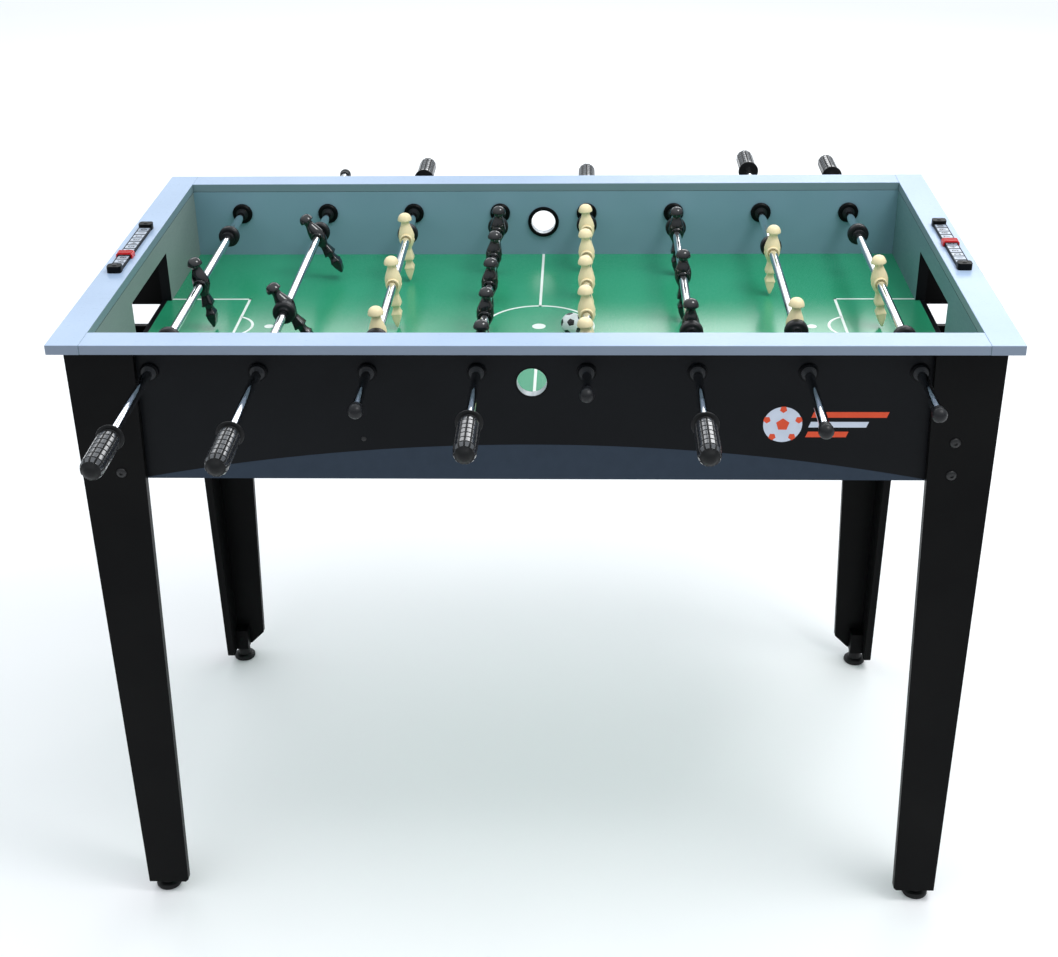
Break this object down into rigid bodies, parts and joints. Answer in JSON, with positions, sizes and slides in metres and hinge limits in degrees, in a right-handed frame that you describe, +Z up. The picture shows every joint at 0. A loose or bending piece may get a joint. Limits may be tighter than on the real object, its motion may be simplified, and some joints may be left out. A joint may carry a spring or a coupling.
{
  "type": "foosball table",
  "caption": "Open-topped table football cabinet on tapered L-section legs, with sliding and spinning player rods, goal boxes and score counters.",
  "frame": {"origin": "on the floor below the middle of the cabinet", "axes": "+X along the table to the right seen from the front, +Y away from the front towards the back, +Z up"},
  "size_m": [1.282, 1.2214, 0.929],
  "materials": {
    "black_board": "satin black laminate on fibreboard",
    "silver_laminate": "satin silver-blue laminate on fibreboard",
    "playfield_print": "glossy printed green playing field",
    "black_plastic": "moulded black plastic",
    "black_steel": "black-finished steel",
    "nylon": "dark nylon",
    "chrome_steel": "chromed steel tube",
    "black_player": "glossy black plastic",
    "cream_player": "satin cream plastic",
    "grip_rubber": "moulded black rubber with a raised grid",
    "stop_rubber": "black rubber",
    "red_plastic": "glossy red plastic",
    "ball_white": "white plastic with black patches"
  },
  "bodies": {
    "cabinet": {"back_panel": "black_board", "ball_hole_rings": "black_plastic", "ball_return_boxes": "black_board", "end_top_rails": "silver_laminate", "front_panel": "black_board", "left_end_panel": "black_board", "leg_back_left": "black_board", "leg_back_right": "black_board", "leg_bolts": "black_steel", "leg_front_left": "black_board", "leg_front_right": "black_board", "leg_levellers": "black_plastic", "playfield": "playfield_print", "right_end_panel": "black_board", "rod_bearings": "black_plastic", "score_counters": "black_plastic", "side_top_rails": "silver_laminate"},
    "left_score_slider": {"left_score_slider": "red_plastic"},
    "right_score_slider": {"right_score_slider": "red_plastic"},
    "ball": {"ball": "ball_white"},
    "rod_1_sleeves": {"rod_1_bearing_sleeves": "nylon"},
    "rod_1": {"rod_1_tube_and_screws": "chrome_steel", "rod_1_players": "black_player", "rod_1_grip": "grip_rubber", "rod_1_stops_and_cap": "stop_rubber"},
    "rod_2_sleeves": {"rod_2_bearing_sleeves": "nylon"},
    "rod_2": {"rod_2_tube_and_screws": "chrome_steel", "rod_2_players": "black_player", "rod_2_grip": "grip_rubber", "rod_2_stops_and_cap": "stop_rubber"},
    "rod_3_sleeves": {"rod_3_bearing_sleeves": "nylon"},
    "rod_3": {"rod_3_tube_and_screws": "chrome_steel", "rod_3_players": "cream_player", "rod_3_grip": "grip_rubber", "rod_3_stops_and_cap": "stop_rubber"},
    "rod_4_sleeves": {"rod_4_bearing_sleeves": "nylon"},
    "rod_4": {"rod_4_tube_and_screws": "chrome_steel", "rod_4_players": "black_player", "rod_4_grip": "grip_rubber", "rod_4_stops_and_cap": "stop_rubber"},
    "rod_5_sleeves": {"rod_5_bearing_sleeves": "nylon"},
    "rod_5": {"rod_5_tube_and_screws": "chrome_steel", "rod_5_players": "cream_player", "rod_5_grip": "grip_rubber", "rod_5_stops_and_cap": "stop_rubber"},
    "rod_6_sleeves": {"rod_6_bearing_sleeves": "nylon"},
    "rod_6": {"rod_6_tube_and_screws": "chrome_steel", "rod_6_players": "black_player", "rod_6_grip": "grip_rubber", "rod_6_stops_and_cap": "stop_rubber"},
    "rod_7_sleeves": {"rod_7_bearing_sleeves": "nylon"},
    "rod_7": {"rod_7_tube_and_screws": "chrome_steel", "rod_7_players": "cream_player", "rod_7_grip": "grip_rubber", "rod_7_stops_and_cap": "stop_rubber"},
    "rod_8_sleeves": {"rod_8_bearing_sleeves": "nylon"},
    "rod_8": {"rod_8_tube_and_screws": "chrome_steel", "rod_8_players": "cream_player", "rod_8_grip": "grip_rubber", "rod_8_stops_and_cap": "stop_rubber"}
  },
  "joints": [
    {"name": "rod_1_spin", "type": "hinge", "parent": "cabinet", "child": "rod_1_sleeves", "pos_m": [-0.49, 0, 0.869], "axis": [0, 1, 0], "continuous": true},
    {"name": "rod_1_slide", "type": "slide", "parent": "rod_1_sleeves", "child": "rod_1", "axis": [0, 1, 0], "range_m": [-0.0804, 0.0964]},
    {"name": "rod_2_spin", "type": "hinge", "parent": "cabinet", "child": "rod_2_sleeves", "pos_m": [-0.35, 0, 0.869], "axis": [0, 1, 0], "continuous": true},
    {"name": "rod_2_slide", "type": "slide", "parent": "rod_2_sleeves", "child": "rod_2", "axis": [0, 1, 0], "range_m": [-0.1744, 0.0784]},
    {"name": "rod_3_spin", "type": "hinge", "parent": "cabinet", "child": "rod_3_sleeves", "pos_m": [-0.21, 0, 0.869], "axis": [0, 1, 0], "continuous": true},
    {"name": "rod_3_slide", "type": "slide", "parent": "rod_3_sleeves", "child": "rod_3", "axis": [0, 1, 0], "range_m": [-0.0764, 0.0864]},
    {"name": "rod_4_spin", "type": "hinge", "parent": "cabinet", "child": "rod_4_sleeves", "pos_m": [-0.07, 0, 0.869], "axis": [0, 1, 0], "continuous": true},
    {"name": "rod_4_slide", "type": "slide", "parent": "rod_4_sleeves", "child": "rod_4", "axis": [0, 1, 0], "range_m": [-0.0294, 0.0534]},
    {"name": "rod_5_spin", "type": "hinge", "parent": "cabinet", "child": "rod_5_sleeves", "pos_m": [0.07, 0, 0.869], "axis": [0, 1, 0], "continuous": true},
    {"name": "rod_5_slide", "type": "slide", "parent": "rod_5_sleeves", "child": "rod_5", "axis": [0, 1, 0], "range_m": [-0.0374, 0.0454]},
    {"name": "rod_6_spin", "type": "hinge", "parent": "cabinet", "child": "rod_6_sleeves", "pos_m": [0.21, 0, 0.869], "axis": [0, 1, 0], "continuous": true},
    {"name": "rod_6_slide", "type": "slide", "parent": "rod_6_sleeves", "child": "rod_6", "axis": [0, 1, 0], "range_m": [-0.1034, 0.0594]},
    {"name": "rod_7_spin", "type": "hinge", "parent": "cabinet", "child": "rod_7_sleeves", "pos_m": [0.35, 0, 0.869], "axis": [0, 1, 0], "continuous": true},
    {"name": "rod_7_slide", "type": "slide", "parent": "rod_7_sleeves", "child": "rod_7", "axis": [0, 1, 0], "range_m": [-0.1064, 0.1464]},
    {"name": "rod_8_spin", "type": "hinge", "parent": "cabinet", "child": "rod_8_sleeves", "pos_m": [0.49, 0, 0.869], "axis": [0, 1, 0], "continuous": true},
    {"name": "rod_8_slide", "type": "slide", "parent": "rod_8_sleeves", "child": "rod_8", "axis": [0, 1, 0], "range_m": [-0.0854, 0.0914]},
    {"name": "left_score_slide", "type": "slide", "parent": "cabinet", "child": "left_score_slider", "axis": [0, 1, 0], "range_m": [-0.043, 0.105]},
    {"name": "right_score_slide", "type": "slide", "parent": "cabinet", "child": "right_score_slider", "axis": [0, 1, 0], "range_m": [-0.08, 0.068]},
    {"name": "ball_roll", "type": "slide", "parent": "cabinet", "child": "ball", "axis": [-1, 0, 0], "range_m": [0, 0.09]}
  ]
}
